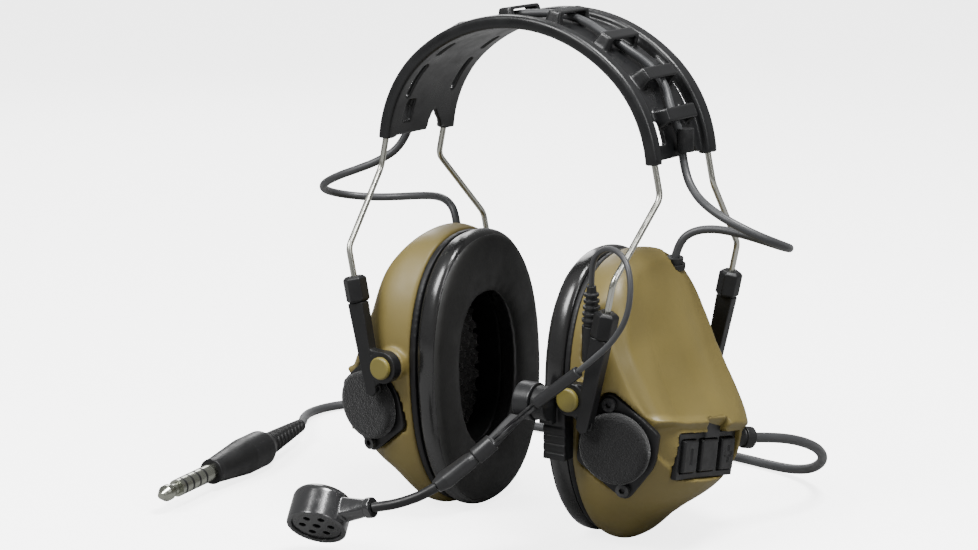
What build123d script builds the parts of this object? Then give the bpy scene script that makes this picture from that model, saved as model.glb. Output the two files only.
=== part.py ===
from build123d import *
import math
import os

os.makedirs("parts", exist_ok=True)

# Communication headset: moulded headband on two spring wires, two ear cups on
# forked yokes, boom microphone, crossover cable, and a downlead with a jack plug.
# Millimetres. X is ear to ear (+X is the wearer's left, the boom side), the
# front of the wearer is -Y, +Z is up, and the cups stand on z = 0.

# ---------------- driving dimensions ----------------
HEAD_A = 64.2          # half width of the headband arch, outer surface
HEAD_TOP = 200.0       # top of the rails
R_CROWN = 71.36        # crown radius of the arch
R_SIDE = 51.31         # side radius of the arch
ARC_T = 40.0           # half angle of the crown arc, degrees
CX1 = (R_CROWN - R_SIDE) * math.sin(math.radians(ARC_T))
CZ0 = HEAD_TOP - R_CROWN
CZ1 = CZ0 + (R_CROWN - R_SIDE) * math.cos(math.radians(ARC_T))
RAIL_T = 5.2           # rail thickness, radial
WEB_T = 2.0            # web thickness
RAIL_Y = 19.3          # rail and wire centre line, from the middle
WIRE_D = 2.4           # headband wire
BORE_D = 2.7           # wire channel in the rails
YOKE_Y = 45.5          # straight ends of the wires
LOW_BEND = (60.6, 108.7)   # x, z
UP_BEND = (64.3, 136.4)
SLIDE = (-0.2079, -0.9781)  # direction of the straight ends, x and z, downwards
PIV = (43.3, 63.2)     # cup pivot, x and z
PIN_D = 4.0
PIN_BORE = 4.1

YC = -1.0              # middle of the cups, front to back
ZC = 56.0              # middle of the cups, height
CUP_LEAN = 4.0         # cups lean forward, degrees
X_FACE = 23.8          # cushion face
X_SEAT = 34.5          # cushion back
X_RIM = 37.2           # shell rim
CUSH_A, CUSH_B = 36.9, 55.6
HOLE_A, HOLE_B = 19.5, 31.0
WALL = 2.4

DISC = (57.8, -41.2, 44.2)      # windscreen foam, centre of its face
DISC_N = (0.16, -0.98, -0.09)
DISC_R = 13.8
XOVER_D = 3.2
LEAD_D = 2.2
DOWN_D = 4.0
PLUG_D = 7.13          # nominal shank of the four-contact communication plug
BOOM_D = 3.8

V = Vector
parts = {}


def put(name, shape):
    if isinstance(shape, (list, tuple)):
        shape = Compound(children=list(shape))
    parts[name] = shape


def mirx(s):
    return mirror(s, about=Plane.YZ)


def rod(a, b, r, r2=None):
    a, b = V(*a), V(*b)
    d = b - a
    pl = Plane(origin=a, z_dir=d)
    al = (Align.CENTER, Align.CENTER, Align.MIN)
    if r2 is None:
        return pl * Cylinder(r, d.length, align=al)
    return pl * Cone(r, r2, d.length, align=al)


def oval_face(pl, a, b, n=2.3, k=28):
    pts = []
    for i in range(k):
        t = 2 * math.pi * (i + 0.5) / k
        c, s = math.cos(t), math.sin(t)
        pts.append(pl.from_local_coords((math.copysign(abs(c) ** (2 / n), c) * a, math.copysign(abs(s) ** (2 / n), s) * b, 0)))
    return Face(Wire([Edge.make_spline(pts, periodic=True)]))


def oval_plate(x0, x1, a, b, n=2.3):
    pl = Plane(origin=(x0, YC, ZC), x_dir=(0, 1, 0), z_dir=(1, 0, 0))
    return extrude(oval_face(pl, a, b, n), amount=x1 - x0)


def lean(s):
    return s.rotate(Axis((0, YC, ZC), (1, 0, 0)), CUP_LEAN)


# ---------------- cords: straight runs joined by large tangent arcs ----------------
def cord_tube(name, pts, d):
    P = [V(*p) for p in pts]
    radii, length = [], 0.0
    for i in range(1, len(P) - 1):
        a, b = P[i] - P[i - 1], P[i + 1] - P[i]
        turn = math.radians(a.get_angle(b))
        radii.append(0.45 * min(a.length, b.length) / math.tan(turn / 2))
    line = FilletPolyline(*P, radius=radii)
    w = Wire(line.edges()) if not isinstance(line, Wire) else line
    start = Plane(origin=w @ 0, z_dir=w % 0)
    tube = sweep(sections=start * Circle(d / 2), path=w)
    length = w.length
    vol = tube.volume / (math.pi * d * d / 4 * length)
    print(f"{name}: length {length:.1f} mm, radii {min(radii):.1f} to {max(radii):.1f}, in diameters min {min(radii)/d:.1f}, volume ratio {vol:.3f}")
    return tube


# ---------------- headband ----------------
def side(phi, off, s=1):
    p = math.radians(phi)
    return (s * (CX1 + (R_SIDE + off) * math.cos(p)), CZ1 + (R_SIDE + off) * math.sin(p))


def crown(th, off):
    t = math.radians(th)
    return ((R_CROWN + off) * math.sin(t), CZ0 + (R_CROWN + off) * math.cos(t))


def arch(y0, y1, off_out, off_in, phi0=5.0):
    def p3(q):
        return (q[0], y0, q[1])

    def line3(off):
        return [
            ThreePointArc(p3(side(phi0, off)), p3(side((phi0 + 50) / 2, off)), p3(side(50, off))),
            ThreePointArc(p3(crown(40, off)), p3(crown(0, off)), p3(crown(-40, off))),
            ThreePointArc(p3(side(50, off, -1)), p3(side((phi0 + 50) / 2, off, -1)), p3(side(phi0, off, -1))),
        ]

    o, i = line3(off_out), line3(off_in)
    e = []
    for g in o + i:
        e += g.edges()
    e += Line(p3(side(phi0, off_out)), p3(side(phi0, off_in))).edges()
    e += Line(p3(side(phi0, off_out, -1)), p3(side(phi0, off_in, -1))).edges()
    return extrude(Face(Wire(e)), amount=y1 - y0, dir=(0, 1, 0))


def wire(y_in, y_out, d):
    def q(p, y):
        return (p[0], y, p[1])

    a_s = side(12.0, -RAIL_T / 2)
    low = (LOW_BEND[0] + SLIDE[0] * 40, LOW_BEND[1] + SLIDE[1] * 40)
    right = FilletPolyline(q(low, y_out), q(LOW_BEND, y_out), q(UP_BEND, y_in), q(a_s, y_in), radius=[6, 6])
    def m(p):
        return (-p[0], p[1])
    left = FilletPolyline(q(m(a_s), y_in), q(m(UP_BEND), y_in), q(m(LOW_BEND), y_out), q(m(low), y_out), radius=[6, 6])
    off = -RAIL_T / 2
    arcs = [
        ThreePointArc(q(side(12, off), y_in), q(side(31, off), y_in), q(side(50, off), y_in)),
        ThreePointArc(q(crown(40, off), y_in), q(crown(0, off), y_in), q(crown(-40, off), y_in)),
        ThreePointArc(q(side(50, off, -1), y_in), q(side(31, off, -1), y_in), q(side(12, off, -1), y_in)),
    ]
    e = list(right.edges())
    for g in arcs:
        e += g.edges()
    e += left.edges()
    w = Wire(e)
    pl = Plane(origin=w @ 0, z_dir=w % 0)
    return sweep(sections=pl * Circle(d / 2), path=w)


front_rail = arch(-22.2, -16.4, 0, -RAIL_T)
rear_rail = arch(16.4, 23.6, 0, -RAIL_T, phi0=4.6)
front_rail = fillet(front_rail.edges().filter_by(lambda e: e.geom_type == GeomType.CIRCLE), 1.7)
rear_rail = fillet(rear_rail.edges().filter_by(lambda e: e.geom_type == GeomType.CIRCLE), 1.7)
web = arch(-17.5, 17.5, WEB_T - RAIL_T, -RAIL_T, phi0=6.0)
# the end of the web: front lobe, V notch, rear lobe
for s in (1, -1):
    notch = extrude(Face(Wire.make_polygon([(s * 40, 3.5, 147.0), (s * 40, 14.5, 147.0), (s * 40, 12.0, 152.0), (s * 40, 7.2, 157.5), (s * 40, 5.0, 153.0)], close=True)), amount=40, dir=(s, 0, 0))
    web -= notch
    web -= Pos(s * 60, -10.8, 158.6) * Box(20, 5.0, 9.0)          # end window
    # long slots beside the rails, between bridges
    for a0, a1 in ((27, 46), (55, 66)):
        for yy in (-14.9, 14.9):
            mid = math.radians((a0 + a1) / 2)
            c = V(s * (CX1 + R_SIDE * math.cos(mid)), yy, CZ1 + R_SIDE * math.sin(mid))
            ln = R_SIDE * math.radians(a1 - a0)
            pl = Plane(origin=c, x_dir=(0, 1, 0), z_dir=(s * math.cos(mid), 0, math.sin(mid)))
            web -= pl * extrude(RectangleRounded(2.4, ln, 1.1), amount=12, both=True)
band = front_rail + rear_rail + web
band -= wire(-RAIL_Y, -YOKE_Y, BORE_D)
band -= wire(RAIL_Y, YOKE_Y, BORE_D)

# crossover cable on the web: zigzag through raised loops
ZIG = []
for (deg, y) in ((-90, 0.0), (-77, -1.0), (-66, 3.6), (-47, -4.2), (-28, 4.2), (-9, -4.2), (9, 4.2), (28, -4.2), (47, 4.2), (66, -3.6), (77, -1.0), (90, 0.0)):
    # angle from the top, measured about the middle of the arch
    if abs(deg) <= ARC_T:
        x, z = crown(deg, -0.1)
    else:
        x, z = side(90 - abs(deg), -0.1, 1 if deg > 0 else -1)
    ZIG.append((x, y, z))
ZIG[0] = (-(HEAD_A - 0.8), -2.0, 150.0)
ZIG[-1] = (HEAD_A - 0.8, -2.0, 150.0)
loops = []
for deg in (-66, -47, -28, -9, 9, 28, 47, 66):
    sg = 1 if deg > 0 else -1
    t = math.radians(deg)
    if abs(deg) <= ARC_T:
        x, z = crown(deg, -3.4)
    else:
        x, z = side(90 - abs(deg), -3.4, sg)
    n = V(math.sin(t), 0, math.cos(t))
    pl = Plane(origin=(x, 0, z), x_dir=(0, 1, 0), z_dir=n)
    outer = extrude(RectangleRounded(23.0, 8.0, 1.8), amount=5.7, taper=14)
    inner = Pos(0, 0, 0.2) * extrude(Rectangle(15.5, 12.0), amount=4.3)
    loops.append(pl * (outer - inner))
for l in loops:
    band += l
put("headband_shell", band)
put("headband_wire_front", wire(-RAIL_Y, -YOKE_Y, WIRE_D))
put("headband_wire_rear", wire(RAIL_Y, YOKE_Y, WIRE_D))
put("crossover_cable_band", cord_tube("crossover_cable_band", ZIG, XOVER_D))
clips = []
for s in (1, -1):
    c = Pos(s * 64.0, -1.2, 155.6) * Cylinder(3.2, 8.6)
    clips.append(c)
clips = [c - Pos(0, 0, 0) * parts["crossover_cable_band"] - band for c in clips]
put("cable_clips", [x for c in clips for x in sorted(c.solids(), key=lambda q: -q.volume)[:1]])

# ---------------- crossover loops, headband end to cup ----------------
LOOP = [(63.4, -2.0, 150.0), (65.8, -3.7, 142.6), (73.0, -8.6, 136.8), (81.0, -12.6, 133.2), (90.5, -14.6, 129.6),
        (100.5, -11.6, 125.0), (106.4, -3.0, 120.6), (104.6, 7.6, 117.4), (96.6, 15.4, 116.0), (86.0, 19.6, 116.6),
        (75.0, 21.0, 118.0), (65.0, 19.6, 119.0), (57.4, 16.8, 117.8), (52.6, 14.6, 113.6), (51.2, 13.8, 107.75)]
loop_l = cord_tube("crossover_loop", LOOP, XOVER_D)
put("crossover_loop_left", loop_l)
put("crossover_loop_right", mirx(loop_l))

# ---------------- yokes ----------------
def along(p, t, y):
    return (p[0] + SLIDE[0] * t, y, p[1] + SLIDE[1] * t)


CAP_TOP = 11.4        # distance below the lower bend, along the wire
CAP_L = 10.4
ARM_END = 57.6
ARM_Y = 43.6          # inner face of the arms
ARM_W = 4.6


def yoke_arm(sy):
    d = V(SLIDE[0], 0, SLIDE[1])
    nx = V(SLIDE[1] * -1, 0, SLIDE[0])          # across the arm, outward
    y0 = sy * ARM_Y
    def pt(t, w):
        b = along(LOW_BEND, t, y0)
        return (b[0] + nx.X * w, y0, b[2] + nx.Z * w)
    poly = Wire.make_polygon([pt(CAP_TOP + CAP_L, 3.6), pt(CAP_TOP + CAP_L, -3.6), pt(46, -2.9), pt(ARM_END, -2.4), pt(ARM_END + 1.6, 0.2), pt(ARM_END, 2.4), pt(46, 2.9)], close=True)
    arm = extrude(Face(poly), amount=ARM_W, dir=(0, sy, 0))
    boss = rod((PIV[0], y0, PIV[1]), (PIV[0], y0 + sy * ARM_W, PIV[1]), 6.3)
    b1, b2 = pt(40, -1.0), pt(ARM_END - 2.0, -1.0)
    tie = extrude(Face(Wire.make_polygon([(PIV[0] + 1.0, y0, PIV[1] + 6.1), b1, b2, (PIV[0] + 1.0, y0, PIV[1] - 6.1)], close=True)), amount=4.2, dir=(0, sy, 0))
    arm = arm + boss + tie
    a = along(LOW_BEND, CAP_TOP + CAP_L - 1, sy * YOKE_Y)
    b = along(LOW_BEND, 42.5, sy * YOKE_Y)
    arm -= rod(a, b, 1.45)
    arm -= rod((PIV[0], y0 - sy, PIV[1]), (PIV[0], y0 + sy * 7, PIV[1]), PIN_D / 2 + 0.02)
    # prongs at the tip
    c = along(LOW_BEND, ARM_END + 0.5, sy * (ARM_Y + ARM_W / 2))
    arm -= Pos(*c) * Box(14, 1.5, 6.0)
    return arm


def slider_nut(sy):
    a = along(LOW_BEND, CAP_TOP, sy * YOKE_Y)
    pl = Plane(origin=a, x_dir=(0, 1, 0), z_dir=(SLIDE[0], 0, SLIDE[1]))
    nut = extrude(RegularPolygon(4.75, 6), amount=CAP_L - 0.02)
    nut = chamfer(nut.faces().sort_by(Axis.Z)[0].edges(), 1.1)
    nut = chamfer(nut.faces().sort_by(Axis.Z)[-1].edges(), 0.9)
    nut = pl * nut
    return nut - rod(along(LOW_BEND, CAP_TOP - 1, sy * YOKE_Y), along(LOW_BEND, CAP_TOP + CAP_L + 1, sy * YOKE_Y), WIRE_D / 2 + 0.06)


def pivot_pin(sy):
    p = rod((PIV[0], sy * 37.0, PIV[1]), (PIV[0], sy * 48.25, PIV[1]), PIN_D / 2)
    h = rod((PIV[0], sy * 48.22, PIV[1]), (PIV[0], sy * 50.2, PIV[1]), 4.5)
    h = fillet(h.faces().filter_by(GeomType.PLANE).sort_by(Axis.Y)[-1 if sy > 0 else 0].edges(), 0.8)
    return p + h


arms = [yoke_arm(-1), yoke_arm(1)]
put("yoke_arms_left", arms)
put("yoke_arms_right", [mirx(a) for a in arms])
nuts = [slider_nut(-1), slider_nut(1)]
put("slider_nuts_left", nuts)
put("slider_nuts_right", [mirx(n) for n in nuts])
pins = [pivot_pin(-1), pivot_pin(1)]
put("pivot_pins_left", pins)
put("pivot_pins_right", [mirx(n) for n in pins])

# ---------------- cups ----------------
SECT = [  # top (x, z), bottom (x, z), half width, exponent
    ((37.2, 111.6), (37.2, 0.2), 37.6, 2.3),
    ((43.0, 112.6), (46.0, -0.6), 39.4, 2.3),
    ((48.0, 111.8), (63.0, 10.5), 38.4, 2.4),
    ((51.0, 109.5), (78.0, 27.0), 34.0, 2.5),
    ((53.0, 106.5), (80.0, 45.0), 28.5, 2.5),
]


def cup_loft(inset):
    faces = []
    for i, (t, b, a, n) in enumerate(SECT):
        T, B = V(t[0], YC, t[1]), V(b[0], YC, b[1])
        up = (T - B).normalized()
        out = V(up.Z, 0, -up.X)
        c = (T + B) * 0.5
        if inset and i == 0:
            c = c - V(0.4, 0, 0)
        if inset and i == len(SECT) - 1:
            c = c - out * inset
        elif inset and i == len(SECT) - 2:
            c = c - out * inset * 0.5
        pl = Plane(origin=c, x_dir=(0, 1, 0), z_dir=out)
        faces.append(oval_face(pl, a - inset, (T - B).length / 2 - inset, n))
    return loft(faces)


outer = lean(cup_loft(0))
inner = lean(cup_loft(WALL))

DN = V(*DISC_N).normalized()
dpl = Plane(origin=V(*DISC) - DN * 7.4, x_dir=V(0, 0, 1).cross(DN).normalized(), z_dir=DN)   # seat of the flange
al_min = (Align.CENTER, Align.CENTER, Align.MIN)
SCR = ((-2.2, 16.6), (2.2, -16.6))       # flange screws, in the flange's own plane


def flange_outline(grow):
    ed = []
    for g in (Circle(15.6 + grow), Pos(*SCR[0]) * Circle(3.7 + grow), Pos(*SCR[1]) * Circle(3.7 + grow), Pos(13.6, 5.0) * Circle(3.0 + grow), Pos(-13.6, -6.0) * Circle(3.0 + grow)):
        ed += g.edges()
    return make_hull(ed)


pocket = dpl * extrude(flange_outline(0.9), amount=30)
pocket_in = dpl * (Pos(0, 0, -2.2) * extrude(flange_outline(3.1), amount=34))
KX = 73.8              # seat of the key panel
KY = -3.5
KEY_TILT = -10.5       # degrees


def tilt(b):
    return b.rotate(Axis((0, KY, 37.0), (1, 0, 0)), KEY_TILT)


key_pocket = tilt(Pos(KX + 10, KY, 37.0) * Box(20, 43.0, 18.0) + Pos(KX + 10, KY + 2.0, 46.0) * Box(20, 12.0, 10.0))
key_in = tilt(Pos(KX - 2.2 + 10, KY, 37.0) * Box(20, 47.4, 22.4) + Pos(KX - 2.2 + 10, KY + 2.0, 46.0) * Box(20, 16.4, 14.4))

ear_f = rod((PIV[0], -35.0, PIV[1]), (PIV[0], -43.2, PIV[1]), 6.2)
ear_r = rod((PIV[0], 34.0, PIV[1]), (PIV[0], 43.2, PIV[1]), 6.2)
shell = outer - (inner - pocket_in - key_in)
shell = shell + ear_f + ear_r
shell -= pocket
shell -= key_pocket
shell -= rod((PIV[0], -50, PIV[1]), (PIV[0], -33, PIV[1]), PIN_BORE / 2)
shell -= rod((PIV[0], 33, PIV[1]), (PIV[0], 50, PIV[1]), PIN_BORE / 2)
shell -= Pos(0, 0, -10) * Box(300, 300, 20)        # flat base
shell -= Pos(X_RIM - 10, 0, 56) * Box(20, 200, 200)
# crossover gland on the top rear of the cup
GL_A, GL_B = (50.4, 14.6, 99.0), (51.2, 13.8, 107.4)
gland = rod(GL_A, GL_B, 3.3)
gland = gland + rod((50.75, 14.25, 103.0), (50.95, 14.05, 105.0), 4.2)
shell_l = shell - rod(GL_A, (51.2, 13.8, 107.4), 3.36) - rod((50.7, 14.3, 102.6), (52.0, 13.0, 116.0), 4.3)
gland_bore = rod((51.0, 14.0, 104.5), (51.3, 13.7, 108.0), XOVER_D / 2)

# microphone socket on the front of the left cup
SOC_A, SOC_B = (46.2, -37.2, 76.0), (46.9, -38.4, 90.0)
socket = rod(SOC_A, SOC_B, 3.6)
SOC_D = V(*SOC_B) - V(*SOC_A)
soc_pocket = rod(tuple(V(*SOC_A) - SOC_D * 0.02), tuple(V(*SOC_B) + SOC_D * 0.4), 3.62) + rod(tuple(V(*SOC_A) + SOC_D * 0.6), tuple(V(*SOC_B) + SOC_D * 0.6), 4.9)
# downlead gland on the rear of the left cup
DG_A, DG_B = (71.6, 20.8, 38.0), (76.4, 30.5, 36.0)

baffle = oval_plate(X_SEAT + 0.05, X_RIM - 0.02, 37.2, 55.2)
baffle = baffle + oval_plate(X_RIM - 1.0, 49.4, 23.2, 35.0)
baffle -= oval_plate(X_SEAT - 2, 48.0, 21.2, 33.0)
baffle = lean(baffle)
cushion = oval_plate(X_FACE, X_SEAT, CUSH_A, CUSH_B) - oval_plate(X_FACE - 1, X_SEAT + 1, HOLE_A, HOLE_B)
cushion = lean(cushion)
liner = lean(oval_plate(44.4, 47.9, 20.9, 32.7))
speaker = lean(Plane(origin=(49.5, YC, ZC + 4), z_dir=(1, 0, 0)) * (Cylinder(18.0, 3.0, align=al_min) + Pos(0, 0, 2.9) * Cylinder(10.5, 1.9, align=al_min)))

foam = dpl * (Pos(0, 0, 2.55) * Cylinder(DISC_R, 4.9, align=al_min))
foam = fillet(foam.edges().filter_by(GeomType.CIRCLE), 1.2)
flange = extrude(flange_outline(0), amount=2.5)
for q in SCR:
    flange -= Pos(q[0], q[1], -1) * Cylinder(1.6, 6, align=al_min)
flange -= Pos(0, 0, -1) * Cylinder(5.0, 6, align=al_min)
flange = dpl * flange
screws = []
for q in SCR:
    sc = Pos(q[0], q[1], -5.0) * Cylinder(1.25, 7.6, align=al_min) + Pos(q[0], q[1], 2.52) * Cylinder(2.6, 1.9, align=al_min)
    sc -= Pos(q[0], q[1], 3.4) * extrude(RegularPolygon(1.25, 6), amount=3)
    screws.append(dpl * sc)
ambient = dpl * (Pos(0, 0, -1.9) * Cylinder(3.2, 4.3, align=al_min))
shell_l = shell_l - (dpl * (Pos(0, 0, -2.3) * Cylinder(3.3, 4, align=al_min)))
for q in SCR:
    shell_l = shell_l - (dpl * (Pos(q[0], q[1], -5.4) * Cylinder(1.28, 8, align=al_min)))
cells = [Pos(-62.5, yy, 66.0) * Cylinder(5.25, 44.5) for yy in (2.0, 14.0)]
cells = [c.rotate(Axis((-62.5, 0, 66.0), (0, 1, 0)), 21.0) for c in cells]
cell_room = [(Pos(-62.5, yy, 65.0) * Cylinder(5.6, 48.0)).rotate(Axis((-62.5, 0, 65.0), (0, 1, 0)), 21.0) for yy in (2.0, 14.0)]
lid_pocket = Pos(KX + 10, KY, 37.0) * Box(20, 43.0, 18.0)
lid_in = Pos(KX - 2.2 + 10, KY, 37.0) * Box(20, 47.4, 22.4)
shell_r0 = outer - (inner - pocket_in - lid_in) + ear_f + ear_r - pocket - lid_pocket
shell_r0 -= rod((PIV[0], -50, PIV[1]), (PIV[0], -33, PIV[1]), PIN_BORE / 2)
shell_r0 -= rod((PIV[0], 33, PIV[1]), (PIV[0], 50, PIV[1]), PIN_BORE / 2)
shell_r0 -= Pos(0, 0, -10) * Box(300, 300, 20)
shell_r0 -= Pos(X_RIM - 10, 0, 56) * Box(20, 200, 200)
shell_r0 = shell_r0 - rod(GL_A, (51.2, 13.8, 107.4), 3.36) - rod((50.7, 14.3, 102.6), (52.0, 13.0, 116.0), 4.3)
shell_r0 = shell_r0 - (dpl * (Pos(0, 0, -2.3) * Cylinder(3.3, 4, align=al_min)))
for q in SCR:
    shell_r0 = shell_r0 - (dpl * (Pos(q[0], q[1], -5.4) * Cylinder(1.28, 8, align=al_min)))
shell_r = mirx(shell_r0)
shell_r = shell_r - (cell_room[0] & Pos(-70, 8, 46) * Box(12.4, 60, 26)) - (cell_room[1] & Pos(-70, 8, 46) * Box(12.4, 60, 26))
for yy in (2.0, 14.0):
    shell_r = shell_r - (Pos(-62.5, yy, 66.0) * Cylinder(5.4, 44.9)).rotate(Axis((-62.5, 0, 66.0), (0, 1, 0)), 21.0)
shell_l = shell_l - soc_pocket - rod(DG_A, (77.4, 32.5, 35.6), 3.56)
socket_in = socket
put("cup_shell_left", max(shell_l.solids(), key=lambda q: q.volume))
put("cup_shell_right", max(shell_r.solids(), key=lambda q: q.volume))


def both(name, s):
    put(name + "_left", s)
    put(name + "_right", mirx(s))


both("baffle_plate", baffle)
both("ear_cushion", cushion)
both("foam_liner", liner)
both("speaker", speaker)
both("windscreen_foam", foam)
both("windscreen_flange", flange)
put("flange_screws_left", screws)
put("flange_screws_right", [mirx(s) for s in screws])
both("ambient_mic", ambient)
both("crossover_gland", gland - gland_bore)

# key panel and three keys on the left cup, battery lid on the right
panel = Pos(KX + 1.2, KY, 37.0) * Box(2.3, 42.4, 17.4) + Pos(KX + 1.6, KY + 2.0, 46.0) * Box(3.1, 11.2, 9.2)
keys = {"key_minus": (KY - 14.0, 10.0), "key_power": (KY, 12.0), "key_plus": (KY + 14.0, 10.0)}
for nm, (yy, w) in keys.items():
    panel -= Pos(KX + 1.2, yy, 37.0) * Box(6, w + 0.8, 12.8)
    k = Pos(KX + 0.95 + 1.5, yy, 37.0) * Box(3.0, w, 12.0)
    k = fillet(k.faces().sort_by(Axis.X)[-1].edges(), 0.7)
    if nm != "key_power":
        k -= Pos(KX + 4.0, yy, 37.0) * Box(1.0, 2.0, 6.4)
    if nm == "key_plus":
        k -= Pos(KX + 4.0, yy, 37.0) * Box(1.0, 6.4, 2.0)
    put(nm, tilt(k))
put("key_panel", tilt(panel))
lid = Pos(-(KX + 2.0), KY, 36.8) * Box(3.0, 42.2, 16.8)
lid = fillet(lid.faces().sort_by(Axis.X)[0].edges(), 0.8)
LID_AX = (-(KX + 2.6), 44.3)
lid = lid + rod((LID_AX[0], KY - 15.0, LID_AX[1]), (LID_AX[0], KY + 15.0, LID_AX[1]), 1.3)
put("battery_lid", lid)
put("battery_cells", cells)
pcb = Pos(60.6, 2.0, 58.0) * Box(1.6, 36.0, 40.0)
put("circuit_board", pcb)

# microphone socket, plug and boom
put("mic_socket", socket - rod(tuple(V(*SOC_A) + SOC_D * 0.45), tuple(V(*SOC_B) + SOC_D * 0.2), 1.8))
REL_A, REL_B = tuple(V(*SOC_B) + SOC_D * 0.003), (47.4, -39.3, 105.0)
relief = rod(REL_A, REL_B, 3.1, 1.7)
for i in range(5):
    f = 0.10 + 0.16 * i
    pa = tuple(REL_A[j] + (REL_B[j] - REL_A[j]) * f for j in range(3))
    pb = tuple(REL_A[j] + (REL_B[j] - REL_A[j]) * (f + 0.075) for j in range(3))
    relief = relief + rod(pa, pb, 3.7 - 0.22 * i)
relief = relief - socket + rod(tuple(V(*SOC_A) + SOC_D * 0.55), REL_A, 1.72)
put("mic_plug", relief)

BRK = Pos(35.6, -43.4, 50.0) * Box(9.6, 6.4, 23.0)
BRK = BRK + rod((31.2, -50.0, 61.0), (37.0, -50.0, 61.0), 6.4)
BRK = BRK + Pos(34.1, -46.5, 58.0) * Box(5.8, 7.0, 10.0)
brk_cut = lean(oval_plate(X_SEAT - 0.4, X_RIM + 0.1, 37.6, 56.0))
BRK = BRK - outer - brk_cut - rod((PIV[0], -30, PIV[1]), (PIV[0], -55, PIV[1]), 7.0)
for i in range(4):
    BRK -= Pos(31.0, -47.2, 41.5 + 3.4 * i) * Box(30, 2.0, 1.3)
BRK = max(BRK.solids(), key=lambda q: q.volume)
HPIN = rod((22.6, -50.0, 61.0), (31.6, -50.0, 61.0), 1.9) + rod((22.0, -50.0, 61.0), (23.4, -50.0, 61.0), 3.1)
put("boom_bracket", BRK + HPIN)
hub = rod((23.8, -50.0, 61.0), (30.8, -50.0, 61.0), 7.2)
hub -= rod((20, -50.0, 61.0), (34, -50.0, 61.0), 1.96)
hub -= rod((20, -50.0, 61.0), (23.8 + 0.0, -50.0, 61.0), 3.4)
COL_A, COL_B = (19.0, -62.4, 46.6), (14.2, -66.4, 41.2)
strap_d = V(*COL_A) - V(27.0, -52.0, 59.0)
sp = Plane(origin=(27.0, -52.2, 59.0), x_dir=(1, 0, 0), z_dir=strap_d)
strap = sp * extrude(RectangleRounded(5.4, 2.6, 1.0), amount=strap_d.length + 1.0)
strap -= rod((20, -50.0, 61.0), (34, -50.0, 61.0), 6.6)
collar = rod(COL_A, COL_B, 3.4)
ROD_A = V(35.2, -59.0, 62.0)
rods = []
for o in (-0.9, 0.9):
    off = V(0.55 * o, 0, -0.6 * o)
    rods.append(rod(tuple(ROD_A + off), tuple(V(*COL_A) + V(1.4, -0.9, 1.2) * 1.0 + off * 0.9), 0.6))
put("boom_rods", rods)
anchor = Pos(33.6, -56.6, 62.0) * Box(5.0, 6.6, 5.2)
anchor = anchor + Pos(29.4, -55.2, 62.0) * Box(5.4, 4.0, 5.2)
anchor -= rod((20, -50.0, 61.0), (38, -50.0, 61.0), 7.22)
for r_ in rods:
    anchor -= r_
hub = hub + anchor
hub -= rod((20, -50.0, 61.0), (34, -50.0, 61.0), 1.96)
put("boom_hub", max(hub.solids(), key=lambda q: q.volume))
strap = strap - rod((20, -50.0, 61.0), (34, -50.0, 61.0), 7.22) + collar
for r_ in rods:
    strap -= r_
strap -= hub
GR_A, GR_B = (13.9, -69.0, 42.3), (5.1, -79.0, 31.0)
put("boom_strap", max(strap.solids(), key=lambda q: q.volume))
g0 = V(*COL_B)
gd = (V(*GR_B) - g0).normalized()
g_l = (V(*GR_B) - g0).length
gp = Plane(origin=g0 + gd * 0.02, x_dir=V(0, 0, 1).cross(gd).normalized(), z_dir=gd)
grip = gp * loft([Circle(2.6).face(), Pos(0, 0, 3.0) * RectangleRounded(6.4, 5.6, 2.0).face(), Pos(0, 0, g_l - 4.0) * RectangleRounded(7.6, 6.0, 2.2).face(), Pos(0, 0, g_l - 0.1) * Circle(2.5).face()], ruled=True)
put("boom_grip", max((grip - strap).solids(), key=lambda q: q.volume))
RODP = [GR_B, (-3.6, -86.0, 25.1), (-14.4, -90.9, 22.5)]
neck_d = V(-24.6, -2.2, -5.2).normalized()
goose = cord_tube("boom_gooseneck", [tuple(V(*GR_B) + gd * 0.05), (1.0, -83.4, 27.9), (-6.6, -87.6, 24.6), (-15.2, -90.8, 22.6)], BOOM_D)
goose = goose - grip
goose = goose - Plane(origin=V(-15.25, -90.82, 22.58) + (V(-38.4, -93.2, 17.5) - V(-15.25, -90.82, 22.58)).normalized() * -0.35, z_dir=V(-38.4, -93.2, 17.5) - V(-15.25, -90.82, 22.58)) * Cylinder(8, 6, align=(Align.CENTER, Align.CENTER, Align.MIN))
put("boom_gooseneck", goose)
NK_A = V(-15.25, -90.82, 22.58)
CAP_N = V(0.233, -0.684, -0.688).normalized()
CAP_C = V(-38.4, -93.2, 17.5)
nd = (CAP_C - NK_A).normalized()
npl = Plane(origin=NK_A, x_dir=CAP_N, z_dir=nd)
neck = npl * (Cylinder(3.9, 2.6, align=al_min) + Pos(0, 0, 2.5) * loft([Circle(3.2).face(), Pos(0, 0, 12.5) * RectangleRounded(9.0, 7.4, 1.6).face()], ruled=True))
cpl = Plane(origin=CAP_C - CAP_N * 7.0, z_dir=CAP_N)
can = cpl * Cylinder(11.5, 14.0, align=al_min)
can = fillet(can.edges().filter_by(GeomType.CIRCLE).sort_by(lambda e: (e.center() - (CAP_C - CAP_N * 7.0)).length)[0], 3.4)
can -= cpl * (Pos(0, 0, 11.0) * Cylinder(9.6, 4.0, align=al_min))
housing = can + neck - (cpl * (Pos(0, 0, 10.99) * Cylinder(9.6, 4.0, align=al_min)))
housing = housing - goose
put("mic_housing", max(housing.solids(), key=lambda q: q.volume))
grille = Cylinder(9.5, 1.6, align=al_min)
holes = [Pos(0, 0, -1) * Cylinder(1.5, 4, align=al_min)]
for i in range(6):
    t = math.radians(60 * i + 15)
    holes.append(Pos(5.6 * math.cos(t), 5.6 * math.sin(t), -1) * Cylinder(1.35, 4, align=al_min))
for h in holes:
    grille -= h
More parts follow.
